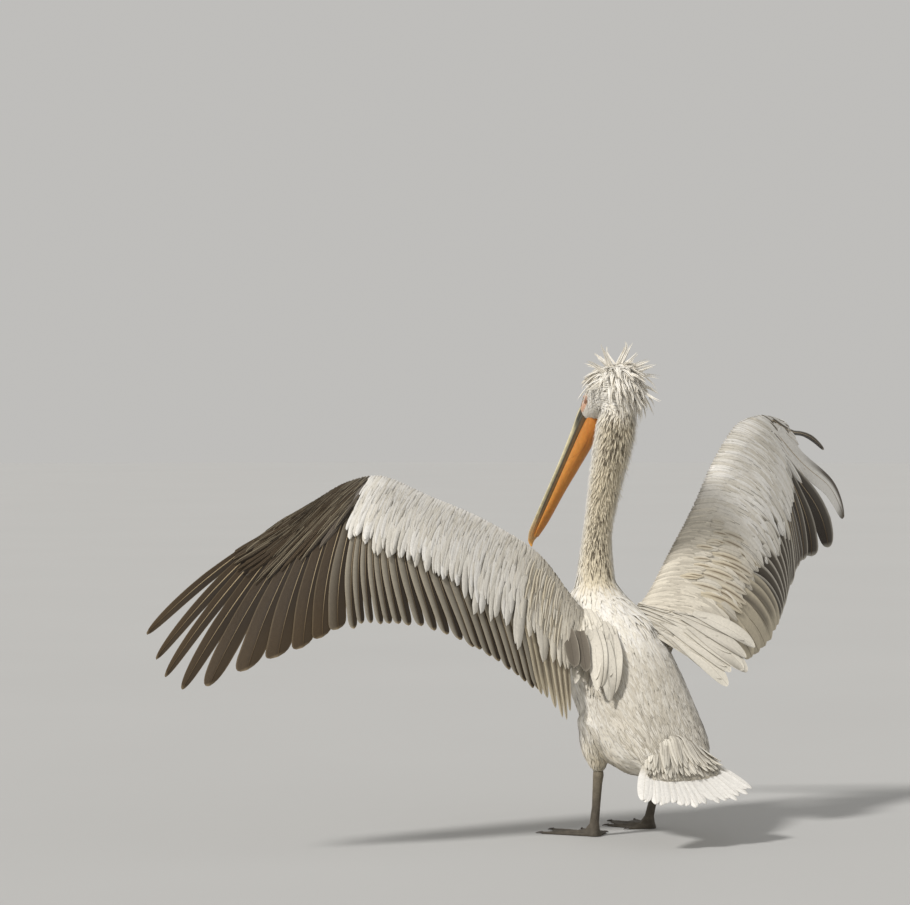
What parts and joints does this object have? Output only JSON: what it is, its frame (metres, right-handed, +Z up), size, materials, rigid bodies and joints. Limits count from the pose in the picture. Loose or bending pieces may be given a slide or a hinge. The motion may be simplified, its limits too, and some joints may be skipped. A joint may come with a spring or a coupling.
{
  "type": "pelican model",
  "caption": "Life-size still model of a standing pelican holding both wings open, with a shaggy crest, a long bill and an orange pouch.",
  "frame": {"origin": "on the floor, under the middle of the bird's overall box", "axes": "+Z up, the bird faces -Y and its left is +X"},
  "size_m": [2.3508, 0.9628, 1.2478],
  "materials": {
    "plumage": "white feathers",
    "grey_plumage": "grey-brown feathers",
    "dark_feather": "dark brown flight feathers",
    "pouch_skin": "bare orange skin",
    "bill_horn": "grey horn",
    "nail_horn": "yellow horn",
    "eye": "wet gloss",
    "leg_skin": "scaled grey skin",
    "claw_horn": "dark horn"
  },
  "bodies": {
    "root": {"bill_lower": "bill_horn", "bill_nail": "nail_horn", "bill_upper": "bill_horn", "claw_left_hallux": "claw_horn", "claw_left_inner_toe": "claw_horn", "claw_left_middle_toe": "claw_horn", "claw_left_outer_toe": "claw_horn", "claw_right_hallux": "claw_horn", "claw_right_inner_toe": "claw_horn", "claw_right_middle_toe": "claw_horn", "claw_right_outer_toe": "claw_horn", "crest": "plumage", "eye_left": "eye", "eye_right": "eye", "head": "plumage", "leg_left_foot": "leg_skin", "leg_left_shank": "leg_skin", "leg_left_thigh": "plumage", "leg_right_foot": "leg_skin", "leg_right_shank": "leg_skin", "leg_right_thigh": "plumage", "neck_lower": "plumage", "neck_middle": "plumage", "neck_upper": "plumage", "pouch": "pouch_skin", "rump": "plumage", "scapulars_left": "plumage", "scapulars_right": "plumage", "tail": "plumage", "trunk": "plumage", "wing_left_forearm": "plumage", "wing_left_hand": "grey_plumage", "wing_left_primaries": "dark_feather", "wing_left_secondaries": "dark_feather", "wing_left_tertials": "grey_plumage", "wing_left_upper_arm": "plumage", "wing_right_forearm": "plumage", "wing_right_hand": "grey_plumage", "wing_right_primaries": "dark_feather", "wing_right_secondaries": "dark_feather", "wing_right_tertials": "grey_plumage", "wing_right_upper_arm": "plumage"}
  },
  "joints": []
}
